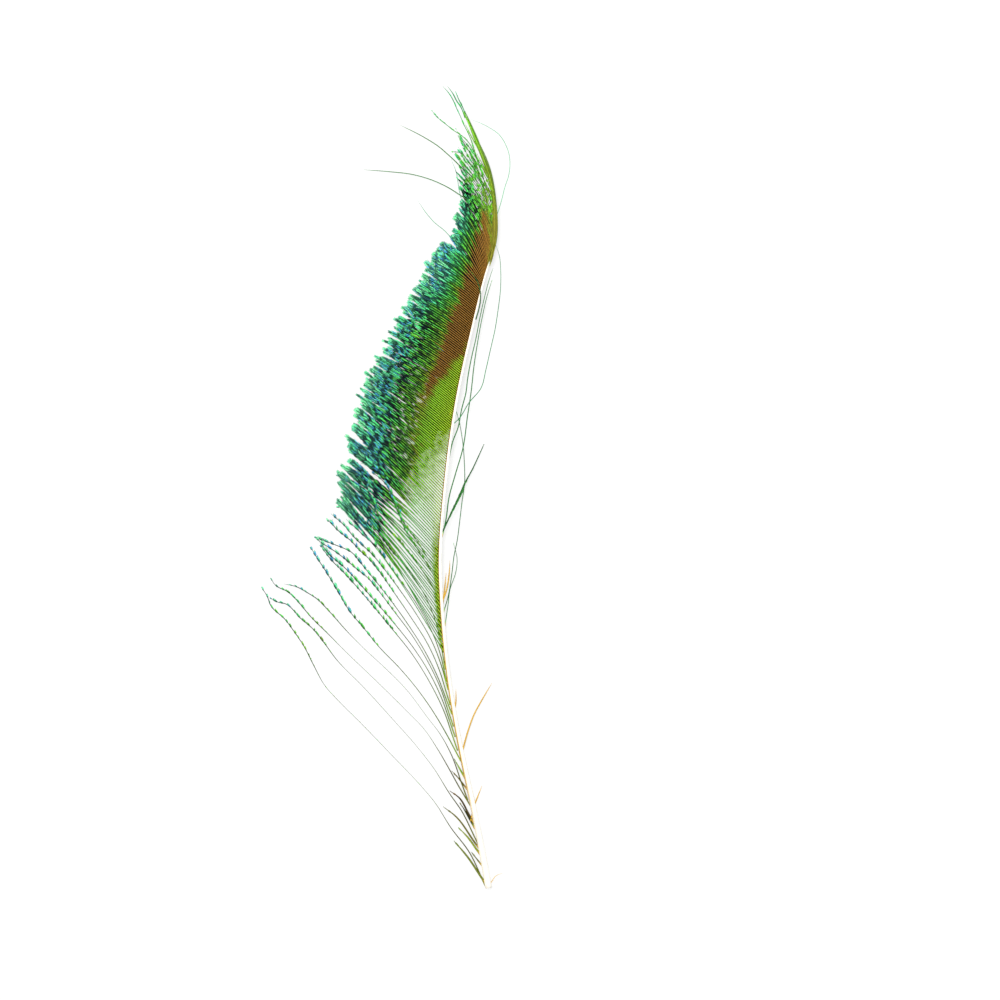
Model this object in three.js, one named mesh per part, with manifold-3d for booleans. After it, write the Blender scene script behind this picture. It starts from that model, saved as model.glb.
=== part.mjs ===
// A peacock's side-tail (sword) feather, lying on a flat surface with its dense vane to the -X side.
// Millimetres. +Y runs from the cut quill to the tip and +Z is up. The points below are measured from the
// middle of the quill's cut end, and the last lines move the feather so that the middle of its box is on Z.
// The shaft, the vane and the loose strands grew as one piece, so they are joined in one solid.

import * as THREE from 'three';
import { mergeVertices } from 'three/addons/utils/BufferGeometryUtils.js';
import Module from 'manifold-3d';

const boxCentreX = -43.4;           // middle of the feather's width, left of the quill's end
const boxCentreY = 168.6;           // middle of the feather's length
const smallestDetail = 0.03;        // edges shorter than this are closed up after the pieces are joined
const shaftSides = 8;
const shaftStations = 32;
const bladeSides = 4;               // a lock is a flat blade with a ridge above and below

const lockCount = 44;
const lockWidth = 4.2;
const lockThickness = 0.76;
const lockSpan = { first: 296, last: 86 };   // where the first and the last lock leave the shaft, along Y
const lockStations = 5;
const lockArch = 1.8;               // how far the middle of a lock stands above its two ends
const strandThickness = 0.6;
const strandStep = 9;               // between a strand's stations, with at least four of them
const hairWidth = 0.55;
const tipHeights = [0.3, 1.3, 0.8, 1.9];     // the locks' tips lie on the surface and on each other

// The shaft's middle line: along Y, across X, width, and the height of its flat underside.
const shaftLine = [
  { y: 0, x: 0, width: 2.8, lift: 0 },
  { y: 12, x: -2.1, width: 2.7, lift: 0 },
  { y: 36, x: -6.9, width: 2.4, lift: 0 },
  { y: 57.5, x: -11.5, width: 2.1, lift: 0.2 },
  { y: 83, x: -16, width: 1.8, lift: 0.9 },
  { y: 111.5, x: -19.2, width: 1.65, lift: 1.8 },
  { y: 138, x: -20.4, width: 1.55, lift: 2.6 },
  { y: 167, x: -18.5, width: 1.5, lift: 3.2 },
  { y: 206, x: -13.2, width: 1.35, lift: 3.4 },
  { y: 235, x: -6.9, width: 1.15, lift: 3.1 },
  { y: 259, x: -0.9, width: 1, lift: 2.7 },
  { y: 272, x: 3.2, width: 0.95, lift: 2.4 },
  { y: 287, x: 3.2, width: 0.85, lift: 1.9 },
  { y: 303.5, x: 0.2, width: 0.8, lift: 1.2 },
  { y: 316, x: -5.4, width: 0.8, lift: 0.7 },
];

// How the barbs leave the shaft at 'base' along Y, and where and how they end. Angles are degrees above -X.
const vane = [
  { base: 296, tip: [-12.4, 302.4], launch: 78, end: 48 },
  { base: 283, tip: [-13.2, 289.5], launch: 72, end: 34 },
  { base: 270, tip: [-14.4, 280.6], launch: 62, end: 26 },
  { base: 258.7, tip: [-19.2, 270], launch: 48, end: 27 },
  { base: 250.7, tip: [-22.9, 264.6], launch: 44, end: 28 },
  { base: 243, tip: [-26.8, 257.4], launch: 43, end: 28 },
  { base: 235.2, tip: [-30.4, 251], launch: 42, end: 27 },
  { base: 222.6, tip: [-36.8, 239.2], launch: 41, end: 26 },
  { base: 205.8, tip: [-44.3, 225.5], launch: 40, end: 25 },
  { base: 184, tip: [-51.5, 210], launch: 42, end: 30 },
  { base: 169, tip: [-54.8, 200.3], launch: 45, end: 32 },
  { base: 154.6, tip: [-58.2, 189.4], launch: 48, end: 35 },
  { base: 146, tip: [-59.6, 180], launch: 48, end: 32 },
  { base: 137.8, tip: [-61.6, 171.5], launch: 48, end: 33 },
  { base: 121, tip: [-63.4, 161], launch: 52, end: 36 },
  { base: 104, tip: [-66.6, 157], launch: 56, end: 42 },
  { base: 83, tip: [-72, 148.3], launch: 58, end: 48 },
];

// Strands and hairs that are followed one by one: where they leave the shaft along Y, their width, the height of
// their far end, and the [x, y] points that they pass on the way to their tip.
const strands = {
  lowest: { from: 1, width: 1.5, rise: 0.1, path: [[-7.5, 15], [-22.4, 35.7], [-47.2, 62], [-68.3, 84],
    [-77.5, 101.2], [-91.8, 117.6], [-96, 126.8]] },
  second: { from: 20, width: 1.5, rise: 0.9, path: [[-16.6, 39.9], [-30, 59.2], [-52.3, 84], [-69.1, 102.9],
    [-85.5, 119.3], [-92.1, 121.8]] },
  third: { from: 33, width: 1.4, rise: 1.6, path: [[-21.6, 58.6], [-40.7, 80.6], [-67, 106.3], [-79.2, 119.3],
    [-89.7, 127.3], [-91.6, 130.2]] },
  fourth: { from: 41, width: 1.4, rise: 2.3, path: [[-20.4, 64.7], [-35.1, 84], [-60.3, 108.8], [-75.8, 123.9],
    [-85.9, 127.7]] },
  fifth: { from: 54, width: 1.4, rise: 0.1, path: [[-24.6, 76], [-46.4, 101.6], [-63.2, 124.3], [-69.1, 134],
    [-75, 143.2]] },
  sixth: { from: 64, width: 1.3, rise: 1, path: [[-33.4, 100], [-48.7, 116.8], [-61.1, 133.6], [-72.9, 146.2]] },
  shortLow: { from: 3, width: 1.1, rise: 0.4, path: [[-8.6, 12.6], [-14.6, 19.7]] },
  shortBent: { from: 13, width: 1, rise: 0.6, path: [[-9, 23.5], [-13.6, 29]] },
  shortCurled: { from: 17, width: 1.1, rise: 0.5, path: [[-14.1, 30.2], [-19.1, 34.2]] },
  shortDark: { from: 28, width: 1.1, rise: 0.5, path: [[-12.4, 37.8], [-16.4, 40.7]] },
  shortUpper: { from: 42, width: 1, rise: 0.5, path: [[-12.9, 46.5], [-15.6, 49.1]] },
  shortGreen: { from: 46, width: 1, rise: 0.5, path: [[-12.5, 51.5], [-14.5, 54.2]] },
  quillCurl: { from: 1.5, width: 0.6, rise: 0.3, path: [[2.7, 4.6], [6.4, 6.1]] },
  quillRight: { from: 32, width: 0.7, rise: 0.5, path: [[-4.2, 39.5], [-2.7, 43.1]] },
  strayLow: { from: 56, width: 0.7, rise: 0.5, path: [[-8.6, 66], [-5.3, 74.5], [1.5, 86.1]] },
  tipRibbon: { from: 312, width: 2.2, rise: 0.1, path: [[-9.9, 326.3], [-14, 332.5], [-17.2, 336.9]] },
  tipSecond: { from: 306, width: 1, rise: 0.5, path: [[-8.4, 317], [-11.8, 324.3], [-14.7, 330.7],
    [-19.3, 337.4]] },
  tipLeft: { from: 299, width: 1.2, rise: 0.6, path: [[-9.2, 314.2], [-17.9, 320.9], [-24, 326.8]] },
  tipInner: { from: 293, width: 1.4, rise: 1, path: [[-5.5, 303], [-9, 310.6], [-12.9, 316]] },
  tipHook: { from: 291, width: 1, rise: 0.9, path: [[-5.4, 299.5], [-9, 305.6], [-15.6, 309.6]] },
  hairUpper: { from: 288, width: hairWidth, rise: 0.3, path: [[-9.2, 299], [-20.9, 311.5], [-37.2, 320.7]] },
  hairLong: { from: 279, width: hairWidth, rise: 0.3, path: [[-10, 289.5], [-23.8, 297.4], [-42.2, 301.1],
    [-53.5, 301.9]] },
  hairLower: { from: 262, width: hairWidth, rise: 0.3, path: [[-14.5, 272], [-22.5, 279.4], [-30, 289.4]] },
  hairLoop: { from: 278, width: hairWidth, rise: 0.9, path: [[6.7, 292.5], [9, 302.4], [6.9, 312.9],
    [-0.3, 319.8], [-7.3, 323]] },
  hairRight: { from: 184, width: hairWidth, rise: 1, path: [[-14.2, 194.5], [-7.6, 204], [-0.4, 220], [4, 243],
    [5.3, 259.5], [3.4, 271]] },
  hairSteep: { from: 166, width: hairWidth, rise: 1.4, path: [[-15, 188], [-11.2, 200], [-8.2, 213.4],
    [-5.6, 222], [-3, 234]] },
  hairInner: { from: 143, width: hairWidth, rise: 1.8, path: [[-16.6, 164], [-11, 184.5], [-8.6, 200],
    [-4.6, 217], [0.4, 240]] },
  hairOuter: { from: 111, width: hairWidth, rise: 0.4, path: [[-15.8, 124.5], [-13.2, 146], [-11.1, 162.5],
    [-10, 176.8], [-12.6, 196]] },
  rightBlade: { from: 147, width: 1.5, rise: 0.8, path: [[-15.9, 157], [-10, 169.7], [-1.9, 186.5]] },
  rightStub: { from: 115, width: 0.8, rise: 1, path: [[-17, 130], [-16.2, 137.8]] },
};

const wasm = await Module();
wasm.setup();

// Value of one key at a place along a table, eased between its rows. The table may run up or down.
function readTable(table, along, place, key) {
  const rising = table[table.length - 1][along] > table[0][along];
  const rows = rising ? table : [...table].reverse();
  const last = rows.length - 1;
  const at = THREE.MathUtils.clamp(place, rows[0][along], rows[last][along]);
  let index = 0;
  while (index < last - 1 && rows[index + 1][along] < at) index += 1;
  const share = (at - rows[index][along]) / (rows[index + 1][along] - rows[index][along]);
  return THREE.MathUtils.lerp(key(rows[index]), key(rows[index + 1]), share);
}

const shaftCurve = new THREE.CatmullRomCurve3(
  shaftLine.map((row) => new THREE.Vector3(row.x, row.y, 0)), false, 'centripetal');
const shaftPoints = shaftCurve.getSpacedPoints(200);

function shaftX(y) {
  return readTable(shaftPoints, 'y', y, (point) => point.x);
}

function shaftWidth(y) {
  return readTable(shaftLine, 'y', y, (row) => row.width);
}

function shaftMiddle(y) {
  const lift = readTable(shaftLine, 'y', y, (row) => row.lift);
  return lift + shaftWidth(y) / 2;
}

// A closed bar along points. Its section has the given number of sides, lies across the line, stays level,
// and measures sizes[i].width by sizes[i].height between opposite sides.
function sweep(points, sizes, sides, turn) {
  const vertices = [];
  const faces = [];
  const last = points.length - 1;
  const grow = turn ? 1 / Math.cos(Math.PI / sides) : 1;
  for (let i = 0; i <= last; i += 1) {
    const ahead = points[Math.min(i + 1, last)].clone().sub(points[Math.max(i - 1, 0)]);
    const across = new THREE.Vector3(ahead.y, -ahead.x, 0).normalize();
    for (let side = 0; side < sides; side += 1) {
      const angle = 2 * Math.PI * (side + (turn ? 0.5 : 0)) / sides;
      const out = grow * sizes[i].width / 2 * Math.cos(angle);
      const up = grow * sizes[i].height / 2 * Math.sin(angle);
      vertices.push(points[i].x + across.x * out, points[i].y + across.y * out, points[i].z + up);
    }
  }
  for (let i = 0; i < last; i += 1) {
    for (let side = 0; side < sides; side += 1) {
      const next = (side + 1) % sides;
      const [a, b] = [i * sides + side, i * sides + next];
      const [c, d] = [b + sides, a + sides];
      faces.push(a, c, b, a, d, c);
    }
  }
  for (let side = 1; side < sides - 1; side += 1) {
    faces.push(0, side, side + 1);
    faces.push(last * sides, last * sides + side + 1, last * sides + side);
  }
  const mesh = new wasm.Mesh({
    numProp: 3,
    vertProperties: new Float32Array(vertices),
    triVerts: new Uint32Array(faces),
  });
  return new wasm.Manifold(mesh);
}

function makeShaft() {
  const points = [];
  const sizes = [];
  for (let i = 0; i < shaftStations; i += 1) {
    const point = shaftCurve.getPointAt(i / (shaftStations - 1));
    const width = shaftWidth(point.y);
    points.push(new THREE.Vector3(point.x, point.y, shaftMiddle(point.y)));
    sizes.push({ width, height: width });
  }
  return sweep(points, sizes, shaftSides, true);
}

function heading(degrees, length) {
  const angle = THREE.MathUtils.degToRad(degrees);
  return new THREE.Vector3(-Math.cos(angle) * length, Math.sin(angle) * length, 0);
}

// One lock: a blade that leaves the shaft, arches a little and comes down to its own height at the tip.
function makeLock(base, tipHeight) {
  const start = new THREE.Vector3(shaftX(base), base, shaftMiddle(base));
  const tip = new THREE.Vector3(
    readTable(vane, 'base', base, (row) => row.tip[0]),
    readTable(vane, 'base', base, (row) => row.tip[1]),
    tipHeight);
  const reach = start.distanceTo(tip) / 3;
  const leave = heading(readTable(vane, 'base', base, (row) => row.launch), reach);
  const arrive = heading(readTable(vane, 'base', base, (row) => row.end), reach);
  const line = new THREE.CubicBezierCurve3(
    start,
    start.clone().add(leave).setZ(start.z + lockArch),
    tip.clone().sub(arrive).setZ(tipHeight + lockArch),
    tip);
  const points = [];
  const sizes = [];
  for (let i = 0; i <= lockStations; i += 1) {
    const t = i / lockStations;
    const taper = t < 0.75 ? 1 : 1 - 0.82 * (t - 0.75) / 0.25;
    points.push(line.getPoint(t));
    sizes.push({ width: lockWidth * taper, height: lockThickness * (1 - 0.4 * t) });
  }
  return sweep(points, sizes, bladeSides, false);
}

// A strand or hair along its own path, thickest in its outer half and pointed at its tip.
function makeStrand(strand) {
  const start = new THREE.Vector3(shaftX(strand.from), strand.from, 0);
  const flat = new THREE.CatmullRomCurve3(
    [start, ...strand.path.map(([x, y]) => new THREE.Vector3(x, y, 0))], false, 'centripetal');
  const baseHeight = shaftMiddle(strand.from);
  const steps = Math.max(4, Math.round(flat.getLength() / strandStep));
  const points = [];
  const sizes = [];
  for (let i = 0; i <= steps; i += 1) {
    const t = i / steps;
    const taper = Math.min(1, 0.6 + t) * Math.min(1, 0.2 + 5 * (1 - t));
    const height = Math.min(strandThickness, strand.width) * Math.min(1, 0.5 + 3 * (1 - t));
    const settled = THREE.MathUtils.smoothstep(t, 0, 0.7);
    const point = flat.getPointAt(t);
    point.z = Math.max(height / 2, THREE.MathUtils.lerp(baseHeight, strand.rise, settled));
    points.push(point);
    sizes.push({ width: strand.width * taper, height });
  }
  return sweep(points, sizes, bladeSides, false);
}

// Overlapping blades can close a small bubble between them, so only the outer skin is kept.
function outerSkin(solid) {
  const skins = solid.simplify(smallestDetail).decompose();
  return skins.reduce((best, skin) => (skin.volume() > best.volume() ? skin : best));
}

function toGeometry(solid) {
  const mesh = solid.getMesh();
  const geometry = new THREE.BufferGeometry();
  geometry.setAttribute('position', new THREE.BufferAttribute(new Float32Array(mesh.vertProperties), 3));
  geometry.setIndex(new THREE.BufferAttribute(new Uint32Array(mesh.triVerts), 1));
  const merged = mergeVertices(geometry);
  merged.computeVertexNormals();
  return merged;
}

function makeFeather() {
  let joined = makeShaft();
  for (let i = 0; i < lockCount; i += 1) {
    const base = THREE.MathUtils.lerp(lockSpan.first, lockSpan.last, i / (lockCount - 1));
    joined = joined.add(makeLock(base, tipHeights[i % tipHeights.length]));
  }
  for (const strand of Object.values(strands)) {
    joined = joined.add(makeStrand(strand));
  }
  return outerSkin(joined);
}

const feather = new THREE.Mesh(
  toGeometry(makeFeather()),
  new THREE.MeshStandardMaterial({ color: '#3f6e2b', roughness: 0.45, metalness: 0.2 }));
feather.name = 'feather';

const group = new THREE.Group();
group.add(feather);
group.position.set(-boxCentreX, -boxCentreY, 0);

export default group;
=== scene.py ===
"""Looks of the peacock side-tail feather: shaft, barbs with barbules, strands, hairs, light and camera.

Lengths are millimetres from the middle of the quill's cut end, with +Y towards the tip, as in the solid.
ROW_X and ROW_Y move them to the row's frame, and every mesh is written in metres there.
"""
import math
from types import SimpleNamespace

import bpy
import numpy as np
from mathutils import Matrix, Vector


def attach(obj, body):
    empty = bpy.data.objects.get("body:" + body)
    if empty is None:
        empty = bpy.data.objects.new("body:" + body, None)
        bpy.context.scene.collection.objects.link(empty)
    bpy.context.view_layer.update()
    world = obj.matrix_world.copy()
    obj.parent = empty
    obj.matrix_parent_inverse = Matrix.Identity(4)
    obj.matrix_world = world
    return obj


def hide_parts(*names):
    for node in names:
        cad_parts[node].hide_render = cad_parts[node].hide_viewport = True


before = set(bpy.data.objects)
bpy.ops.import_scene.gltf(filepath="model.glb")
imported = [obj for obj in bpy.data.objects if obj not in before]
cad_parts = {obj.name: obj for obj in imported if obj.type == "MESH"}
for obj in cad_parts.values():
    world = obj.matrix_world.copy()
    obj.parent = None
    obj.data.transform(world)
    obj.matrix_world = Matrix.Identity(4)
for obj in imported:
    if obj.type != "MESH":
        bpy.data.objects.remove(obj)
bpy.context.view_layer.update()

METRE = 0.001  # metres in a millimetre
ROW_X, ROW_Y = 43.4, -168.6  # where the middle of the quill's cut end lies in the row frame
LOWEST = 0.03  # no barb reaches nearer to the surface than this
PHOTO_SIDE = 1000  # pixels along each side of the photograph
PHOTO_PIXEL = 0.42  # millimetres of the object in one of those pixels
PHOTO_CENTRE = (4.83, 162.96)  # what the middle of the photograph looks at

# Every kind of barb has its own series of random numbers.
SEED = 11
SERIES = {"vane": 1000, "strands": 77, "crossing": 99, "sheath": 55, "tips": 66, "hairs": 33, "stubs": 44}

# The shaft's middle line: along Y, across X, width, and the height of its flat underside.
SHAFT = np.array([
    (0, 0, 2.8, 0), (12, -2.1, 2.7, 0), (36, -6.9, 2.4, 0), (57.5, -11.5, 2.1, 0.2), (83, -16, 1.8, 0.9),
    (111.5, -19.2, 1.65, 1.8), (138, -20.4, 1.55, 2.6), (167, -18.5, 1.5, 3.2), (206, -13.2, 1.35, 3.4),
    (235, -6.9, 1.15, 3.1), (259, -0.9, 1, 2.7), (272, 3.2, 0.95, 2.4), (287, 3.2, 0.85, 1.9),
    (303.5, 0.2, 0.8, 1.2), (316, -5.4, 0.8, 0.7),
])

# How the barbs leave the shaft at a place along Y, and where and how they end. Angles are degrees above -X.
VANE = np.array([
    # base, tip x, tip y, launch, end
    (300, -17.2, 335.5, 76, 58), (293, -15.8, 329.5, 84, 60), (286, -13.9, 321, 90, 56),
    (281, -12.6, 315.5, 92, 54), (277, -13, 311, 92, 52), (273, -13.2, 305, 90, 50),
    (269.5, -12.2, 299.5, 88, 50), (266.5, -11.6, 294.8, 86, 48), (263, -11.3, 287.3, 82, 43),
    (260.2, -13.8, 284.4, 74, 40), (257.8, -14.3, 279, 66, 33), (255.2, -15.4, 272, 57, 30),
    (252.4, -19.6, 268.8, 50, 27), (250.2, -22.7, 264.8, 44, 28), (243, -26.8, 257.4, 43, 28),
    (235.2, -30.4, 251, 42, 27), (222.6, -36.8, 239.2, 41, 26), (205.8, -44.3, 225.5, 40, 25),
    (184, -51.5, 210, 42, 30), (169, -54.8, 200.3, 45, 32), (154.6, -58.2, 189.4, 48, 35),
    (149.1, -58.6, 185.2, 48, 34), (144.1, -58.6, 178.5, 48, 32), (137.8, -62.4, 175.6, 50, 35),
    (127.3, -62.8, 171.8, 52, 38), (116.8, -62, 167.2, 54, 42), (108.4, -61.5, 163.4, 56, 44),
    (97.9, -63.6, 160.4, 58, 38),
])[::-1]

# Distance between neighbouring barbs along the shaft, at places along Y.
PITCH = np.array([
    (95, 2.4), (110, 2.0), (121, 1.7), (138, 1.4), (150, 1.3), (163, 1.25), (176, 1.12), (188, 1.0),
    (200, 0.88), (248, 0.86), (252, 0.72), (272, 0.72), (277, 1.2), (282, 2.4), (290, 3.0), (300, 3.6),
])

# Where the vane is split open: base along Y, share of the barb at which the split starts, half of its width.
SPLITS = [
    (254.3, 0.55, 0.45), (204.5, 0.72, 0.6), (190, 0.72, 0.6), (168.4, 0.7, 0.7), (155, 0.75, 0.6),
    (146.7, 0.3, 1.1), (112, 0.6, 0.8),
]
SPLIT_REACH = 5.0  # how far along the shaft a split moves the barbs beside it

# Along Y: how far from the shaft a barb stays bare, and how far from the shaft its fringe is full.
BARE = np.array([
    # base, bare to, full from
    (60, 60, 78), (90, 32, 56), (105, 26, 48), (121, 20, 41), (138, 15, 36), (150, 9.5, 28), (163, 4, 22),
    (176, -2, 17), (190, -8, 9), (200, -14, -2), (300, -12, -4),
])

# Barbs break up into dashes beyond the outer of these lines, and are brown between the two, above Y 190.
BROWN = np.array([
    # y, outer x, inner x
    (120, -38, -37), (140, -37.5, -36.5), (155, -35, -34), (170, -32.2, -31.2), (186, -30.2, -28.5),
    (196, -30, -27.5), (205, -28.8, -25.5), (213, -25.6, -19.5), (222, -21.8, -13), (230, -19.4, -6),
    (238, -16.4, 0), (247, -13.2, 6), (256, -10.2, 6), (265, -7.4, 1.8), (273, -5.8, 1.4),
    (280, -3.6, 0.6), (286, -1.2, -0.6),
])

# Loose lower strands, from the lowest up, each from the shaft to its tip.
STRANDS = [
    [(-1.6, 1.3), (-8.2, 15.1), (-15.8, 25.2), (-22.5, 35.7), (-29.6, 44.1), (-39.3, 54.2), (-53.5, 68.9),
     (-64, 79.4), (-68.2, 84), (-74.1, 94.5), (-77.5, 101.2), (-81.7, 107.5), (-85.5, 112.6),
     (-91.8, 118.9), (-93, 122.2), (-95.7, 126.5)],
    [(-5.9, 21.4), (-11.1, 31.9), (-16.6, 39.9), (-22.9, 50), (-30, 59.2), (-40.1, 70.6), (-52.3, 84),
     (-64.5, 96.6), (-69.1, 102.9), (-73.7, 108.6), (-79.2, 113.4), (-85.3, 119.3), (-88.8, 120.1),
     (-92, 121.8)],
    [(-8.6, 36.1), (-12.4, 42.4), (-16.6, 50), (-21.6, 58.6), (-27.5, 67.2), (-33, 72.9), (-40.7, 80.6),
     (-48.5, 88.2), (-60.3, 99.5), (-67, 106.3), (-75.4, 114.7), (-79.2, 119.3), (-84.2, 124.3),
     (-89.7, 127.3), (-91.6, 130.2)],
    [(-11.1, 43.3), (-15.8, 56.3), (-20.4, 64.7), (-25.2, 71), (-35.1, 84), (-42.6, 91.6), (-52.9, 101.2),
     (-60.3, 108.8), (-66.6, 115.9), (-72.5, 121.8), (-75.8, 123.9), (-80.8, 126.6), (-85.9, 127.7)],
    [(-13.7, 57.1), (-16.6, 62.6), (-24.6, 76), (-30.4, 84), (-36.8, 91.6), (-46.4, 101.6), (-52.9, 109.6),
     (-58.2, 115.9), (-63.2, 124.3), (-69.1, 134), (-71.6, 137.8), (-75, 143.2)],
    [(-15.3, 64.3), (-18.3, 73.1), (-24.6, 86.1), (-32.5, 98.7), (-40.9, 109.2), (-48.9, 118.9),
     (-56.1, 127.3), (-61.9, 133.6), (-65.3, 136.9), (-67.8, 139.9), (-70.8, 144.1)],
    [(-16.2, 69.7), (-19.1, 78.1), (-24.6, 89.9), (-32.1, 101.6), (-40.1, 111.7), (-48.1, 121),
     (-54.8, 128.5), (-60.3, 134.4), (-63.2, 136.9), (-66.6, 139.9), (-68.7, 142.4), (-71.2, 145.7)],
    [(-16.8, 73.9), (-19.9, 83.2), (-25.4, 94.9), (-32.5, 106.7), (-39.7, 116.3), (-46.4, 125.2),
     (-50.6, 130.2), (-54.8, 133.6), (-58.2, 136.5), (-62.4, 139.9), (-66.6, 142.8), (-69.9, 144.9),
     (-72.5, 147)],
    [(-17.2, 77.7), (-21.2, 88.2), (-27.1, 100), (-34.6, 111.7), (-42.2, 122.2), (-48.9, 130.6),
     (-51.4, 133.6), (-54.8, 137.8), (-57.3, 140.7), (-60.3, 142.4), (-63.2, 143.6), (-66.6, 144.9),
     (-69.9, 146.2), (-73.3, 147.4)],
    [(-17.8, 82.3), (-20.4, 90.7), (-25.4, 102.1), (-33, 114.2), (-40.5, 125.2), (-46.4, 133.6),
     (-50.6, 138.6), (-54.8, 142.4), (-57.3, 145.3), (-60.3, 147.8), (-64, 150.8), (-66.6, 153.7),
     (-67.8, 154.3), (-65.3, 154.6)],
    [(-18.1, 87.4), (-19.5, 92.4), (-24.1, 104.2), (-30.4, 115.1), (-37.6, 125.6), (-43.5, 133.6),
     (-46.4, 137.3), (-49.8, 141.1), (-54, 144.9), (-57.3, 148.3), (-60.3, 152), (-63.6, 155),
     (-66.4, 157.3)],
    [(-18.5, 90.7), (-19.9, 97), (-23.7, 107.5), (-29.6, 118.4), (-36.8, 128.9), (-42.6, 136.9),
     (-45.1, 140.7), (-47.2, 143.6), (-50.2, 146.2), (-53.1, 148.7), (-55.6, 151.2), (-58.2, 153.3),
     (-59.8, 155)],
    [(-18.7, 94.9), (-21.2, 108.4), (-25.4, 120.1), (-31.3, 130.2), (-37.2, 137.8), (-39.7, 140.3),
     (-42.2, 143.6), (-46.4, 148.7), (-51.4, 153.7), (-55.6, 156.7), (-58.2, 158.8), (-61.1, 159.6),
     (-64, 160.1)],
]

# Strands that cross the vane's lower barbs.
CROSSING = {
    "crossed": [(-19.9, 130.2), (-21.6, 133.6), (-25.4, 138.6), (-30, 145.7), (-33.8, 150.8),
        (-36.8, 155.8), (-38.9, 160), (-40.5, 164.6), (-42.2, 168.4), (-45.6, 172.2), (-49.1, 174.7)],
    "beside": [(-19.9, 125.2), (-23.7, 132.7), (-28.8, 140.7), (-32.5, 146.6), (-35.3, 151.2),
        (-37.2, 156.2), (-38, 160), (-40.1, 163.4), (-41.8, 166.3)],
    "far": [(-19.9, 121), (-24.6, 128.5), (-30.9, 137.8), (-38, 146.6), (-41.8, 150.4), (-45.6, 155.4),
        (-47.2, 158.3), (-48.1, 162.1), (-49.6, 165.2), (-51, 168.8), (-50.4, 171.4)],
}

# Barbs along the top of the shaft: how far up they keep to it, and how far beside SHEATH_ARC they lie.
SHEATH = [
    (336.5, 0.0), (336.5, -0.7), (334, -1.3), (330, -1.9), (324, -1.5), (317, 0.0), (309, -2.1),
    (303, -0.6), (297, 0.0), (291, -1.6), (283, -2.6),
]
SHEATH_ARC = np.array([
    (0.4, 261), (1.9, 265.5), (3.1, 272), (3.5, 280), (3.2, 287), (2.2, 294), (0.4, 301.5), (-2.3, 308.4),
    (-5, 315), (-7.4, 320.7), (-9.9, 326.3), (-12.6, 331), (-16, 335.8),
])

# Tips of the crown that are followed one by one.
TIPS = {
    "far_left": [(-6.1, 309.1), (-7.6, 312.1), (-9.2, 314.2), (-11.5, 316.3), (-14.7, 318.4),
        (-17.8, 320.9), (-21.4, 323.8), (-24, 326.8)],
    "second": [(-1.5, 296), (-3.4, 302), (-5, 306.5), (-6.1, 310), (-7.3, 314.2), (-8.9, 317.9),
        (-10.5, 321), (-11.8, 324.2), (-13.4, 327.6), (-14.7, 330.7), (-16.6, 333.9), (-19.3, 337)],
    "top": [(-9.9, 323.4), (-11.5, 327.8), (-13.4, 330.7), (-15.3, 334.3), (-17.3, 336.9)],
    "third": [(-9.7, 325), (-10.9, 328.1), (-12.5, 331.4), (-14.1, 335.2)],
    "inner": [(-3.6, 300), (-6.1, 305.8), (-8.2, 309.5), (-10.5, 312.5), (-12.9, 316.1)],
    "leaf": [(1.2, 288), (-0.6, 293.6), (-2.3, 298.5), (-3.7, 303.1), (-5.4, 307.6), (-6.8, 312.6)],
    "beside": [(-0.5, 290), (-2.6, 295.4), (-4.6, 300), (-6.3, 304.6), (-7.6, 308.6)],
    "column": [(0.2, 286), (-1.6, 292), (-3.2, 297), (-4.6, 301.2), (-6.2, 306.4)],
    "low": [(-3.8, 294), (-6.5, 299.5), (-9.2, 302.4), (-11.8, 306), (-14.1, 308.7)],
    "hook": [(-4.2, 297), (-6.5, 302.4), (-8.9, 305.6), (-11.8, 308.9), (-15.6, 309.5)],
}

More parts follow.
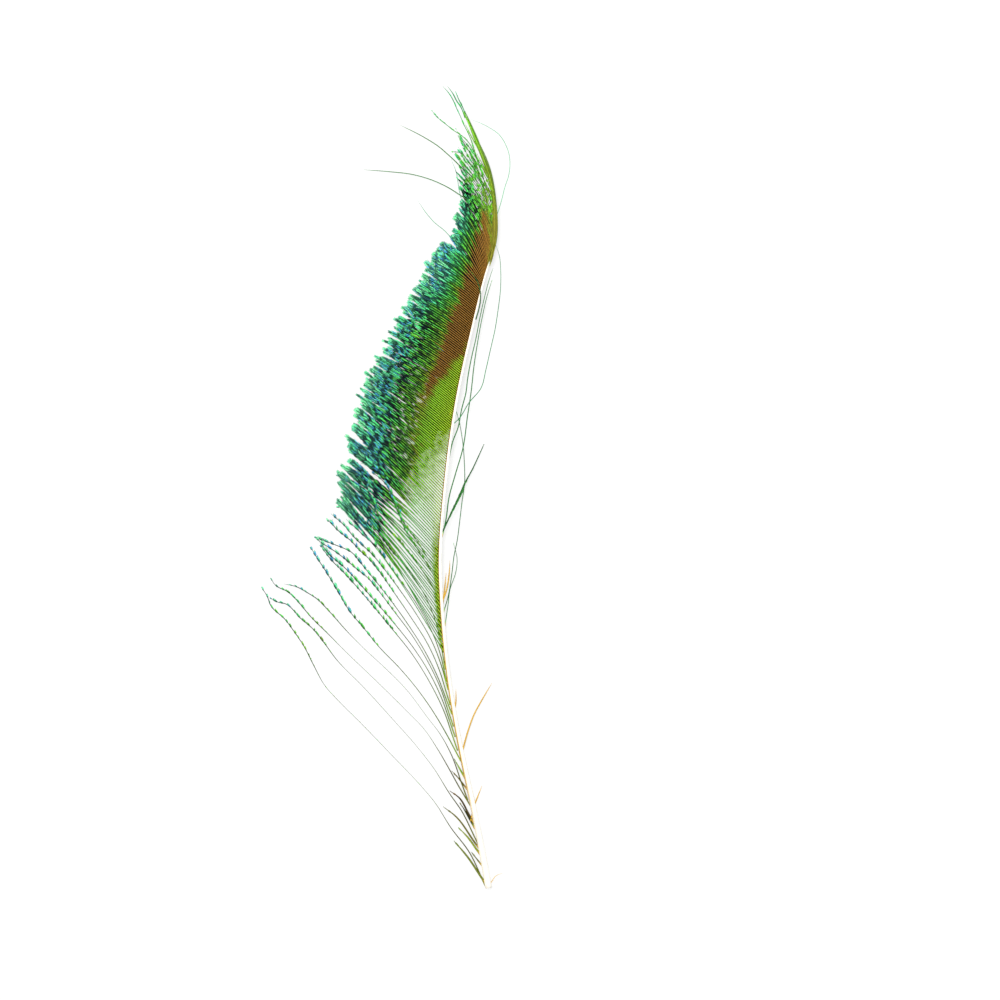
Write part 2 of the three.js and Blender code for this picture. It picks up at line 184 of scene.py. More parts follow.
# Stray hairs: zone, light, width, fringe, height of the far end, reach of the barbules, and path.
HAIRS = {
    "upper": (0.45, 0.2, 0.4, 0.1, 0.3, 0.5, [(-6.1, 298.2), (-9.4, 300.9), (-16.2, 307.4), (-20.9, 311.5),
        (-27.6, 315.8), (-37.2, 320.7)]),
    "long": (0.5, 0.2, 0.38, 0.1, 0.3, 0.5, [(-8.6, 289), (-11.3, 290.6), (-16.6, 294), (-23.8, 297.4),
        (-31.5, 299.7), (-42.2, 301.1), (-52.5, 301.9)]),
    "pale": (0.8, 0.4, 0.24, 0, 0.5, 0.5, [(-11.5, 289.8), (-12.2, 292.4), (-13.7, 301.1), (-15.8, 306.4)]),
    "lower": (0.7, 0.35, 0.26, 0, 0.3, 0.5, [(-12, 269.6), (-15.6, 273), (-18.5, 276.1), (-22.5, 279.4),
        (-26.7, 284.3), (-30, 289.4)]),
    "loop": (0.7, 0.5, 0.24, 0, 0.9, 0.5, [(3.6, 282.7), (5.2, 287.7), (6.9, 294.4), (8.4, 299), (9, 303.7),
        (8.6, 308.3), (6.9, 312.9), (4.7, 316.3), (0.2, 319.6), (-4, 321.7), (-7.3, 323)]),
    "right": (0.65, 0.25, 0.34, 0.3, 1, 0.6, [(-16.6, 188.2), (-14.9, 194.5), (-12.4, 197), (-8.2, 203.7),
        (-3.1, 210), (-1.1, 217.6), (0.8, 226), (2.7, 234.4), (4, 242.8), (5, 251.2), (5.1, 259.6),
        (4.6, 265.4), (3.1, 270.1)]),
    "steep": (0.55, 0.2, 0.46, 0.3, 3.2, 0.6, [(-18.3, 170.1), (-16.6, 180.2), (-14.9, 187.7),
        (-12.8, 193.2), (-11.3, 200.8), (-9.4, 208.3), (-8.8, 213.4), (-7.3, 221.8), (-5.2, 231),
        (-3.6, 239.4), (-1.9, 247), (-0.2, 253.7), (1.9, 260.4)]),
    "inner": (0.55, 0.2, 0.46, 0.4, 2.2, 0.6, [(-19.5, 147.4), (-17.8, 155), (-16.6, 163.8), (-13.9, 173.7),
        (-10.7, 184.8), (-8.8, 198.2), (-7.3, 208.3), (-6.1, 219.2), (-4.4, 230.2), (-2.7, 239.4),
        (-0.6, 248.6), (1.5, 255.4)]),
    "over": (0.5, 0.1, 0.46, 0.3, 4.7, 0.6, [(-5.3, 238.5), (-4, 243), (-3.4, 246.3), (-3.4, 249.8),
        (-4.3, 253.6), (-6, 256.8), (-8.2, 259.5)]),
    "outer": (0.55, 0.15, 0.36, 0.5, 0.5, 0.7, [(-19.1, 115.1), (-17, 122.2), (-15.3, 132.7),
        (-14.5, 139.4), (-13.2, 145.7), (-12, 155), (-11.1, 162.5), (-10.1, 169.7), (-10.1, 176.8),
        (-11.1, 189), (-12.4, 196.1), (-13.9, 201.2)]),
    "lesser": (0.55, 0.2, 0.32, 0.4, 0.5, 0.6, [(-18.3, 110), (-17, 119), (-16.2, 125.2), (-13.7, 132.9),
        (-13.2, 137.8), (-14.9, 145.3)]),
    "blade": (0.52, 0.1, 0.6, 1, 0.8, 2.6, [(-19.1, 149.9), (-15.9, 156.9), (-12, 165.1), (-10.1, 169.7),
        (-6.9, 175.6), (-3.6, 182.7), (-1.9, 186.5)]),
    "short": (0, 0.4, 0.3, 0, 3, 0.5, [(-16.2, 198.7), (-14.7, 202.9), (-13.2, 206.6)]),
}

# Short stubs: zone, brown, light, width, fringe, and path.
STUBS = {
    "green_high": (0.2, 0, 0.5, 0.75, 0.9, [(-10.7, 47.5), (-12.6, 50.8), (-14.5, 54.2)]),
    "brown_high": (0.1, 0.7, 0.2, 0.65, 0.7, [(-10.3, 43), (-12.8, 46.2), (-15.6, 49.1)]),
    "curled": (0.1, 0.9, 0.12, 0.75, 0.7, [(-8.2, 30.7), (-12.4, 37.8), (-16.4, 40.7)]),
    "dark": (0.3, 0.6, 0.05, 0.75, 0.7, [(-7.8, 28.6), (-9.9, 32.3), (-12.1, 35.7)]),
    "bent": (0.12, 0.5, 0.25, 0.7, 0.7, [(-5.7, 18.9), (-14.1, 30.2), (-19.1, 34)]),
    "green_low": (0.14, 0.2, 0.5, 0.8, 1, [(-4.8, 15.8), (-8.6, 21), (-12.9, 25.4)]),
    "small": (0.12, 0.5, 0.2, 0.65, 0.8, [(-4, 10.9), (-5.7, 13), (-7.3, 15.1)]),
    "thick": (0.14, 0.3, 0.3, 0.85, 1, [(-2.7, 3.9), (-8.6, 12.6), (-14.6, 19.7)]),
    "orange_one": (0, 0, 0.75, 0.58, 0, [(-19.3, 118.9), (-18.5, 125.2), (-17.8, 132.5)]),
    "orange_two": (0, 0, 0.75, 0.6, 0, [(-19.1, 121), (-17.6, 125.2), (-16.6, 131.5), (-16.2, 137.8)]),
    "orange_low": (0, 0, 0.75, 0.58, 0, [(-14.7, 73.9), (-13.9, 76.9), (-13.7, 83.7)]),
    "orange_long": (0, 0, 0.68, 0.62, 0, [(-11.5, 55.4), (-10.7, 58.4), (-8.6, 65.9), (-6.1, 72.7),
        (-2.7, 79), (1.5, 86.1)]),
    "orange_quill": (0, 0, 0.75, 0.58, 0, [(-6.9, 30.7), (-6.1, 34.2), (-4.4, 38.6), (-2.7, 43)]),
    "curl": (0, 0, 0.8, 0.3, 0, [(0.2, 1.3), (1.3, 2.5), (2.7, 4.6), (4.4, 5.6), (6.3, 6.1)]),
}


# ---- Small mathematics ----
def ease(low, high, value):
    """Rises smoothly from 0 at low to 1 at high."""
    share = np.clip((value - low) / (high - low), 0, 1)
    return share * share * (3 - 2 * share)


def column(table, key, place):
    """A column of a table at a place along its first column."""
    return np.interp(place, table[:, 0], table[:, key])


def lengths(line):
    """Length from the start of a line to each of its points."""
    return np.concatenate([[0], np.cumsum(np.linalg.norm(np.diff(line, axis=0), axis=1))])


def hermite(points, count):
    """A smooth line through points, at evenly spread places by length."""
    points = np.asarray(points, float)
    along = lengths(points)
    slopes = np.gradient(points, along, axis=0)
    place = np.linspace(0, along[-1], count)
    at = np.clip(np.searchsorted(along, place, side="right") - 1, 0, len(points) - 2)
    step = (along[at + 1] - along[at])[:, None]
    t = ((place - along[at]) / step[:, 0])[:, None]
    return ((2 * t**3 - 3 * t**2 + 1) * points[at] + (t**3 - 2 * t**2 + t) * step * slopes[at]
            + (3 * t**2 - 2 * t**3) * points[at + 1] + (t**3 - t**2) * step * slopes[at + 1])


def bezier(a, b, c, d, count):
    t = np.linspace(0, 1, count)[:, None]
    return (1 - t)**3 * a + 3 * (1 - t)**2 * t * b + 3 * (1 - t) * t**2 * c + t**3 * d


def wander(rng, place, step):
    """Smooth noise from -1 to 1 along a length."""
    knots = np.arange(0, place[-1] + 2 * step, step)
    return np.interp(place, knots, rng.uniform(-1, 1, len(knots)))


SHAFT_LINE = hermite(SHAFT[:, [1, 0]], 400)


def shaft_x(y):
    return np.interp(y, SHAFT_LINE[:, 1], SHAFT_LINE[:, 0])


def shaft_middle(y):
    """Height of the shaft's middle."""
    return column(SHAFT, 3, y) + column(SHAFT, 2, y) / 2


def draws(kind, number):
    """The random numbers of one barb."""
    return np.random.default_rng(SEED * SERIES[kind] + number)


# ---- Meshes ----
# Parts of a tone: place in the colour change, brown, light and blue. Light mixes each colour's dark and
# bright version, partly the barbules' own darker and lighter colour and partly painted light and shade.
ZONE, EARTH, LIGHT, GLINT = range(4)


def new_piece(name, points, lowest, faces, material):
    """A piece of the feather. Points are millimetres, and none of them goes below the lowest height."""
    row = (points + (ROW_X, ROW_Y, 0)) * METRE
    row[:, 2] = np.maximum(row[:, 2], lowest * METRE)
    mesh = bpy.data.meshes.new(name)
    mesh.vertices.add(len(row))
    mesh.vertices.foreach_set("co", row.astype(np.float32).ravel())
    mesh.loops.add(faces.size)
    mesh.loops.foreach_set("vertex_index", faces.astype(np.int32).ravel())
    mesh.polygons.add(len(faces))
    mesh.polygons.foreach_set("loop_start", np.arange(0, faces.size, 3, dtype=np.int32))
    mesh.update(calc_edges=True)
    mesh.validate()
    mesh.materials.append(material)
    piece = bpy.data.objects.new(name, mesh)
    bpy.context.scene.collection.objects.link(piece)
    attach(piece, "root")
    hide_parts("feather")
    return piece


def mark(piece, name, values):
    """An attribute with one number, or one colour, for each vertex of a piece."""
    kind, field = ("FLOAT", "value") if values.ndim == 1 else ("FLOAT_COLOR", "color")
    attribute = piece.data.attributes.new(name, kind, "POINT")
    attribute.data.foreach_set(field, values.astype(np.float32).ravel())


class Growth:
    """Gathers the triangles of many barbs, with each vertex's tone and its place on the bake's map."""

    def __init__(self, barbs):
        self.barbs = barbs
        self.made = 0
        self.count = 0
        self.points, self.faces, self.tones, self.places = [], [], [], []

    def add(self, points, faces, tones, across, share):
        """Adds a part of the present barb, which has a strip of the bake's map to itself."""
        points = points.reshape(-1, 3)
        places = np.stack([self.made + 0.1 + 0.8 * across, 0.01 + 0.98 * share], axis=-1)
        self.points.append(points)
        self.faces.append(faces.reshape(-1, 3) + self.count)
        self.tones.append(tones.reshape(-1, 4))
        self.places.append(places.reshape(-1, 2))
        self.count += len(points)

    def build(self, name, material):
        faces = np.concatenate(self.faces)
        piece = new_piece(name, np.concatenate(self.points), LOWEST, faces, material)
        mark(piece, "tone", np.concatenate(self.tones))
        places = np.concatenate(self.places)
        places = np.column_stack([places[:, 0] / self.barbs, places[:, 1]])
        bake_map = piece.data.uv_layers.new(name="OFBake")
        bake_map.data.foreach_set("uv", places[faces.ravel()].astype(np.float32).ravel())


def directions(line):
    """Unit tangent, the level direction to its right, and up, at each point of a line."""
    tangent = np.gradient(line, axis=0)
    tangent /= np.linalg.norm(tangent, axis=1)[:, None]
    right = np.column_stack([tangent[:, 1], -tangent[:, 0], np.zeros(len(line))])
    right /= np.linalg.norm(right, axis=1)[:, None]
    return tangent, right, np.cross(right, tangent)


def tube_points(line, out, rise):
    """A ring of points around each point of a line. out and rise hold a row for each ring."""
    _, right, up = directions(line)
    return line[:, None] + out[..., None] * right[:, None] + rise[..., None] * up[:, None]


def tube_faces(stations, sides):
    """Triangles of a closed tube whose rings follow each other, with a fan over each end."""
    ring = np.arange(sides)
    start = (np.arange(stations - 1) * sides)[:, None]
    a = start + ring
    b = start + (ring + 1) % sides
    walls = np.concatenate([
        np.stack([a, b, b + sides], axis=-1).reshape(-1, 3),
        np.stack([a, b + sides, a + sides], axis=-1).reshape(-1, 3),
    ])
    fan = np.column_stack([np.zeros(sides - 2, int), np.arange(2, sides), np.arange(1, sides - 1)])
    end = fan[:, [0, 2, 1]] + (stations - 1) * sides
    return np.concatenate([walls, fan, end])


def rod(growth, line, half_width, half_height, tone):
    """A closed rod with four sides, half_width to each side and half_height up and down."""
    sides = 4
    angle = 2 * math.pi * np.arange(sides) / sides
    out = np.asarray(half_width)[:, None] * np.cos(angle)
    rise = np.asarray(half_height)[:, None] * np.sin(angle)
    across = 0.5 + 0.2 * np.tile(np.cos(angle), len(line))
    share = np.repeat(lengths(line) / lengths(line)[-1], sides)
    faces = tube_faces(len(line), sides)
    growth.add(tube_points(line, out, rise), faces, np.repeat(tone, sides, axis=0), across, share)


# A barbule is a thin leaf with five points: root, left, right, ridge and tip.
BARBULE_FACES = np.array([(0, 2, 3), (0, 3, 1), (0, 1, 2), (4, 3, 2), (4, 1, 3), (4, 2, 1)])
BARBULE_ACROSS = np.array([0.5, 0.62, 0.68, 0.65, 0.9])  # where those points lie across the barb's map
BARBULE_WIDEST = 0.45  # share of its length at which it is widest
BARBULE_BEND = 0.06  # how far it bows outwards there, as a share of its length
BARBULE_RIDGE = 0.35  # height of its ridge, as a share of half its width
ROOT_LIGHT, TIP_LIGHT = 0.6, 1.15


def barbules(growth, line, roots, side, reach, angle, width, tone, rng):
    """Leaf-like blades along a barb: each springs from it at an angle and ends in a point."""
    along = lengths(line)
    tangent, right, _ = directions(line)
    root, forward, sideways = [
        np.column_stack([np.interp(roots, along, part[:, k]) for k in range(3)])
        for part in (line, tangent, right)
    ]
    count = len(roots)
    sway = angle + rng.normal(0, 0.07, count)
    lift = rng.uniform(-0.12, 0.2, count)
    heading = (forward * np.cos(sway)[:, None] + sideways * (side * np.sin(sway))[:, None]
               + np.array([0, 0, 1]) * lift[:, None])
    heading /= np.linalg.norm(heading, axis=1)[:, None]
    flat = np.cross(heading, (0, 0, 1))
    flat /= np.linalg.norm(flat, axis=1)[:, None]
    over = np.cross(flat, heading)
    tilt = rng.normal(0, 0.35, count)[:, None]
    wide = flat * np.cos(tilt) + over * np.sin(tilt)
    high = over * np.cos(tilt) - flat * np.sin(tilt)
    bend = sideways * (side * BARBULE_BEND * reach)[:, None]
    middle = root + heading * (BARBULE_WIDEST * reach)[:, None] + bend
    half = (width / 2)[:, None]
    points = np.stack([
        root,
        middle - wide * half,
        middle + wide * half,
        middle + high * half * BARBULE_RIDGE,
        root + heading * reach[:, None],
    ], axis=1)
    faces = (np.arange(count) * 5)[:, None, None] + BARBULE_FACES
    tones = np.repeat(tone[:, None], 5, axis=1)
    tones[:, 0, LIGHT] *= ROOT_LIGHT
    tones[:, 4, LIGHT] *= TIP_LIGHT
    across = np.tile(BARBULE_ACROSS if side > 0 else 1 - BARBULE_ACROSS, (count, 1))
    share = np.repeat((roots / along[-1])[:, None], 5, axis=1)
    growth.add(points, faces, tones, across, share)


# ---- One barb ----
SPACING = 0.34  # between barbules along a barb
DISTAL, PROXIMAL = 1, -1  # the side towards the feather's tip, and the side towards its quill
DASH_EDGE = 0.3  # length over which a dash fades in and out
WEB_DEPTH = 0.14  # how far the web's middle lies under the ramus
WEB_HALF_HEIGHT = 0.04
WEB_GLINT = 0.4  # how blue the web is beside its barbules


class Dashes:
    """Stretches of a barb whose barbules lie together and shine, each with its own light, hue and blue."""

    def __init__(self, rng, total, period, duty, blue):
        starts, ends = [], []
        place = rng.uniform(-period, 0)
        while place < total:
            length = period * duty * rng.uniform(0.55, 1.6)
            starts.append(place)
            ends.append(place + length)
            place += max(length + 0.22 * period, period * rng.uniform(0.7, 1.3))
        self.starts, self.ends = np.array(starts), np.array(ends)
        count = len(starts)
        self.light = rng.uniform(0.5, 1.35, count)
        self.hue = rng.normal(0, 0.08, count)
        self.blue = (rng.uniform(0, 1, count) < blue).astype(float)
        self.spread = rng.uniform(0.6, 1.5, count)

    def at(self, place):
        """How far inside a dash each place is, from 0 to 1, and which dash it belongs to."""
        which = np.clip(np.searchsorted(self.starts, place, side="right") - 1, 0, len(self.starts) - 1)
        inside = np.minimum(place - self.starts[which], self.ends[which] - place)
        return np.clip(inside / DASH_EDGE, 0, 1), which


def draw_barb(growth, line, look, rng):
    """A barb: its ramus, a dark web beside it that is partly the barbules' own dark colour and partly
    painted shade between barbs, and the barbules.
    """
    along = lengths(line)
    left = along[-1] - along
    dashes = Dashes(rng, along[-1], look.period, look.duty, look.blue)
    inside, which = dashes.at(along)
    stem = look.tone.copy()
    stem[:, ZONE] += look.ridge * dashes.hue[which]
    stem[:, EARTH] = look.stem_brown
    stem[:, LIGHT] = look.stem_light * (1 - look.ridge) + look.ridge * inside * dashes.light[which]
    stem[:, GLINT] = 0
    half = look.stem / 2 * np.sqrt(np.clip(left / 6, 0.06, 1))
    rod(growth, line, half, half, stem)
    # The web is a dark sheet under the ramus: partly the barbules' own dark colour, partly painted shade
    # that fills the gaps between barbs.
    if look.web.max() > 0.05:
        web = look.tone.copy()
        web[:, LIGHT] = look.web_light
        web[:, GLINT] *= WEB_GLINT
        ragged = 1 + 0.25 * wander(rng, along, 1.3)
        half = np.maximum(look.web / 2 * ragged * np.sqrt(np.clip(left / 3, 0.02, 1)), 0.02)
        rod(growth, line - (0, 0, WEB_DEPTH), half, np.full(len(line), WEB_HALF_HEIGHT), web)
    for side in (DISTAL, PROXIMAL):
        draw_side(growth, line, look, dashes, side, rng)
    growth.made += 1


def draw_side(growth, line, look, dashes, side, rng):
    """The barbules on one side of a barb."""
    along = lengths(line)
    total = along[-1]
    roots = np.arange(0.4, total - 0.25, look.spacing)
    count = len(roots)
    roots = roots + rng.uniform(-0.3, 0.3, count) * look.spacing

    def read(values):
        return np.interp(roots, along, values)

    broken, fringe, dark, gap = [read(part) for part in (look.broken, look.fringe, look.dark, look.gap)]
    inside, which = dashes.at(roots)
    shine = 1 - broken * (1 - inside)
    bright = read(look.bright) * (1 - broken + broken * dashes.light[which])
    # Barbules on the proximal side get painted shade: their bright colour is pulled towards the dark one.
    if side == PROXIMAL:
        bright = dark + (bright - dark) * read(look.underside)
    mixed = broken * rng.uniform(-0.4, 0.3, count) + rng.uniform(-0.08, 0.08, count)
    tone = np.column_stack([read(part) for part in look.tone.T])
    tone[:, LIGHT] = (dark + (bright - dark) * shine) * (1 + mixed)
    tone[:, ZONE] += broken * dashes.hue[which] + rng.normal(0, 0.015, count)
    tone[:, GLINT] *= dashes.blue[which] * (rng.uniform(0, 1, count) < 0.55)
    reach = read(look.reach) * (0.25 + 0.75 * fringe) * (gap + (1 - gap) * shine)
    reach = reach * rng.uniform(0.85, 1.15, count)
    angle = read(look.angle) * (1 + broken * (dashes.spread[which] - 1)) + 0.18 * (1 - shine)
    if side == PROXIMAL:
        reach = reach * look.proximal
        angle = angle + 0.1
    angle = angle * np.clip(0.45 + (total - roots) / 4, 0, 1)
    reach = np.minimum(reach, (total - roots) + look.overrun)
    kept = (rng.uniform(0, 1, count) < 0.15 + fringe) & (reach > 0.15)
    width = read(look.blade)
    barbules(growth, line, roots[kept], side, reach[kept], angle[kept], width[kept], tone[kept], rng)


# What a look holds: values for the whole barb, as on a hair, and values that are spread along it.
WHOLE = {"period": 4.0, "duty": 0.55, "blue": 0.0, "spacing": SPACING, "proximal": 0.5, "overrun": 0.1}
SPREAD = ("stem", "stem_light", "stem_brown", "web", "web_light", "ridge", "fringe", "broken", "bright",
          "dark", "underside", "reach", "angle", "blade", "gap")


def look_along(line, **values):
    """A look, with each width and light spread along the line's points, and 0 where none is given."""
    look = SimpleNamespace(tone=np.zeros((len(line), 4)))
    for key, plain in WHOLE.items():
        setattr(look, key, values.get(key, plain))
    for key in SPREAD:
        setattr(look, key, np.broadcast_to(np.asarray(values.get(key, 0), float), len(line)).copy())
    for part, key in ((ZONE, "zone"), (EARTH, "brown"), (GLINT, "glint")):
        look.tone[:, part] = values.get(key, 0)
    return look


# ---- The looks of the three kinds of barb ----
# The places of the barbs' bases along Y between which one part of the vane passes into the next.
LOWER_END = (130, 165)
UPPER_START = (222, 245)
CROWN_START = (258, 266)

# How the colour changes with the distance beyond the brown, and how the barbules do.
ZONES = np.array([
    (0, 0.17), (1.5, 0.27), (4, 0.37), (9, 0.48), (13, 0.61), (17, 0.74), (21, 0.84), (28, 0.94),
])
FRINGE = np.array([
    # beyond, reach, angle, width
    (0, 0.6, 0.09, 0.16),
    (8, 0.9, 0.1, 0.19),
    (14, 1.6, 0.17, 0.28),
    (19, 2.1, 0.27, 0.34),
])


def vane_brown(line, base, rng):
    """How brown each point of a barb of the vane is, and how far it lies beyond the brown's outer line."""
    x, y = line[:, 0], line[:, 1]
    outer = column(BROWN, 1, y) + rng.normal(0, 0.9)
    inner = column(BROWN, 2, y) + 1.3 * UNEVEN(base + 60) + rng.normal(0, 0.5)
    brown = ease(-1.2, 1.2, x - outer) * ease(-2.5, 2.5, inner - x)
    brown = brown * ease(190, 212, y) * (1 - ease(286, 292, y))
    flecks = ease(0.2, 0.7, wander(rng, lengths(line), 1.6)) * ease(-2.5, 0, outer + 1 - x)
    flecks = flecks * ease(-4.5, -1, x - outer) * ease(172, 186, y)
    return np.maximum(brown, 0.55 * flecks), outer - x


def vane_zone(beyond, share, crown, ends):
    """Place in the colour change from the shaft to the edge."""
    zone = 0.17 + 0.13 * share / max(share[np.argmax(beyond > 0)], 0.1)
    zone = np.where(beyond > 0, column(ZONES, 1, beyond), zone)
    zone = zone + (0.18 + 0.45 * share - zone) * crown
    return zone + (0.93 - zone) * ends * (1 - 0.8 * crown)


def vane_web(base, along, share, crown, lower, far, broken, rng):
    """Width of the full web as a share of the distance to the next barb, with its holes."""
    width = 1.34 + 0.1 * far + 0.1 * wander(rng, along, 4)
    thinned = ease(145, 165, base) * (1 - ease(185, 225, base)) * ease(0.3, 0.4, share)
    holes = ease(0.1, 0.7, wander(rng, along, 1.5))
    width = width - 0.75 * holes * np.maximum(thinned * (1 - ease(0.65, 0.8, share)), far)
    width = width + (0.4 - 1.6 * ease(266.5, 273.5, base)) * crown * (0.3 + 0.7 * broken)
    width = width - 0.95 * holes * crown * ease(260, 265, base)
    width = width - 0.35 * holes * (1 - crown) * ease(248, 256, base) * broken
    return width - 0.3 * lower * (1 - far) + 0.25 * lower * far


def vane_look(line, base, spread, rng):
    """Widths and tones along one barb of the vane. spread is the distance to the next barb."""
    along = lengths(line)
    share = along / along[-1]
    lower = 1 - ease(*LOWER_END, base)
    crown = ease(*CROWN_START, base)
    upper = ease(*UPPER_START, base) * (1 - crown)
    brown, past = vane_brown(line, base, rng)
    beyond = np.maximum(0, past) * (1 + 0.8 * ease(225, 262, base))
    far = ease(8, 14, beyond) * (1 - crown)
    ends = ease(0.86, 1, share)
    broken = ease(-0.5, 1.5, past) * (0.55 + 0.45 * ease(4, 10, beyond))
    broken = broken + (ease(0.08, 0.2, share) * (1 - brown) - broken) * crown
    lean = 1.3 * UNEVEN(base) + rng.normal(0, 0.5)
    bare = column(BARE, 1, base) + lean
    full = column(BARE, 2, base) + lean
    fringe = ease(bare, max(full, bare + 1), along)
    cover = np.clip((along - bare) / max(full - bare, 1) + 0.05 * wander(rng, along, 3), 0, 1)**1.4
    full_web = vane_web(base, along, share, crown, lower, far, broken, rng)
    slow = 1 + 0.1 * wander(rng, along, 6)
    near = (1 - ease(1.5, 6, along)) * (1 - fringe)
    zone = vane_zone(beyond, share, crown, ends) + (0.02 + 0.22 * lower) * (1 - fringe) * (1 - near)
    stem = np.interp(along, (0, 3, 9, 40), (0.4, 0.36, 0.36, 0.28)) + (0.08 + 0.24 * lower) * near
    stem = stem + 0.17 * (1 - lower) * (1 - fringe) * (1 - near) - 0.1 * crown
    stem = stem * (1 - 0.3 * broken * fringe * (1 - crown))
    stem_light = 0.95 * slow * fringe + (0.5 + 0.1 * near - 0.2 * lower * (1 - near)) * (1 - fringe)
    wide = 1 + (np.clip(spread / 0.75, 1, 2.2) - 1) * (1 - crown) * (1 - lower)
    reach, angle, blade = [column(FRINGE, key, beyond) for key in (1, 2, 3)]
    # How much of the painted shade on the proximal side is lifted again in the far and upper parts.
    lit = 0.55 * np.maximum(far * (1 - 0.6 * lower), upper * broken)
    return look_along(
        line,
        zone=zone + 0.19 * upper * broken * (1 - ends),
        brown=brown,
        glint=far * (1 - 0.85 * ends),
        stem=stem,
        stem_light=stem_light + (0.1 - stem_light) * broken * fringe,
        stem_brown=brown,
        # The dark web: partly the barbules' own dark colour, partly painted shade between the barbs.
        web=(0.9 * stem + 0.4 * spread * near * lower) * (1 - cover) + spread * full_web * cover,
        web_light=0.08 * ends + 0.17 * upper * broken + 0.3 * (1 - cover)**2 * (1 - near * lower),
        ridge=broken * fringe * (1 - ease(11, 16, beyond)) * (1 - 0.5 * crown),
        fringe=0.06 + 0.94 * fringe,
        broken=broken,
        bright=(0.95 * slow + 0.2 * broken + 0.3 * np.maximum(far, crown)) * (1 - 0.32 * lower * far),
        dark=0.02 * (1 - broken) + 0.03 * far + 0.32 * ends + 0.17 * np.maximum(0.5 * crown, upper * broken),
        # Painted shade on the proximal side: how much of the bright colour its barbules keep.
        underside=0.02 + 0.42 * crown + lit + 0.3 * ends * (1 - crown),
        reach=wide * (reach * (1 - crown) + 1.5 * crown),
        angle=wide * (angle * (1 - crown) + 0.17 * crown),
        blade=wide * (blade + 0.1 * ends) * (1 - crown) + 0.36 * crown,
        gap=0.6 - 0.54 * crown,
        period=rng.uniform(3.4, 6.0) * (1 - 0.25 * crown), duty=0.66 - 0.18 * crown,
        blue=0.58, proximal=0.75 + 0.2 * (base > 262), overrun=0.8,
    )


def strand_look(line, rng, fringe_from):
    """Widths and tones along a loose strand: bare at first, then with teeth of barbules from a share on."""
    share = lengths(line) / lengths(line)[-1]
    teal = 1 - ease(0.5, 0.7, fringe_from)
    foot = (1 - teal) * (1 - ease(0.1, 0.3, share))
    faint = (1 - teal) * ease(0.15, 0.3, share) * (1 - ease(0.66, 0.76, share))
    zone = np.interp(share, (0, 0.04, 0.1, 0.4, 0.6, 0.8, 1), (0.14, 0.2, 0.26, 0.36, 0.32, 0.36, 0.85))
    stem = np.interp(share, (0, 0.06, 0.2, 0.35, 0.6, 1), (0.6, 0.5, 0.36, 0.28, 0.32, 0.36))
    stem_light = np.interp(share, (0, 0.04, 0.12, 0.3, 0.5, 1), (0.7, 0.5, 0.24, 0.2, 0.12, 0.04))
    stem_brown = np.interp(share, (0, 0.15, 0.3, 0.45, 0.6), (0, 0.25, 0.4, 0.45, 0.15))
    return look_along(
        line,
        zone=zone + 0.36 * teal * ease(0.4, 0.7, share) * (1 - 0.5 * share),
        glint=teal * ease(0.6, 0.75, share) + (1 - teal) * ease(0.85, 0.95, share),
        stem=stem * (1 - 0.5 * faint),
        stem_light=stem_light * (1 - 0.35 * foot),
        stem_brown=stem_brown + 0.5 * foot,
        fringe=ease(fringe_from, fringe_from + 0.1, share),
        # The proximal side of a strand is painted in deep shade.
        broken=1.0, bright=1.05, underside=0.1, gap=0.05,
        reach=np.interp(share, (0, 0.5, 0.8, 1), (1.1, 1.5, 1.8, 1.7)) * (0.75 + 0.25 * teal),
        angle=np.interp(share, (0, 0.5, 0.8, 1), (0.3, 0.4, 0.5, 0.4)),
        blade=np.interp(share, (0, 0.3, 0.5, 0.8), (0.34, 0.42, 0.54, 0.6)) * (0.7 + 0.3 * teal),
        period=rng.uniform(2.6, 3.1), duty=0.5, blue=0.4, spacing=0.2, proximal=0.3,
    )


def hair_look(line, zone, light, stem, fringe, brown=0.0, reach=0.7, blade=0.28, rooted=True):
    """Widths and tones along a stray hair or a short stub, tan where it leaves the shaft."""
    along = lengths(line)
    share = along / along[-1]
    root = (1 - ease(0.5, 3.5, along)) * rooted
    return look_along(
        line,
        zone=zone * (1 - root),
        brown=brown,
        stem=stem * np.interp(share, (0, 0.7, 1), (1.15, 0.9, 0.6)),
        stem_light=light + (0.8 - light) * root,
        stem_brown=brown * (1 - root),
        fringe=fringe * ease(0.08, 0.2, share),
        # The proximal side of a hair or stub is painted in some shade.
        broken=0.8, bright=0.8, dark=0.15, underside=0.4, gap=0.3,
        reach=reach, angle=0.3, blade=blade,
    )


# ---- The vane ----
BARB_STEP = 0.9  # between points along a barb
BARB_SLACK = 1.15  # how much longer a barb is than the straight way to its tip
LEAVE_RISE, ARRIVE_RISE = 1.0, 1.3  # how high a barb's curve is drawn up at the shaft and at its tip
TIP_LAYERS = (0.4, 1.4, 0.9, 2.0)  # heights of the tips of neighbouring barbs
HIGHEST_BASE = 283.5  # above this the barbs run along the shaft, as SHEATH and TIPS say
UNEVEN_STEP = 5  # length along the shaft over which the vane's unevenness changes

# Each piece of the vane, and the lowest base of its barbs.
VANE_PIECES = {"vane_tip": 257, "vane_upper": 228, "vane_middle": 200, "vane_lower": 165, "vane_end": 0}


def vane_bases():
    """Where the vane's barbs leave the shaft, from the top down."""
    places = []
    y = HIGHEST_BASE
    while y > VANE[0, 0]:
        places.append(y)
        y -= column(PITCH, 1, y)
    return np.array(places)


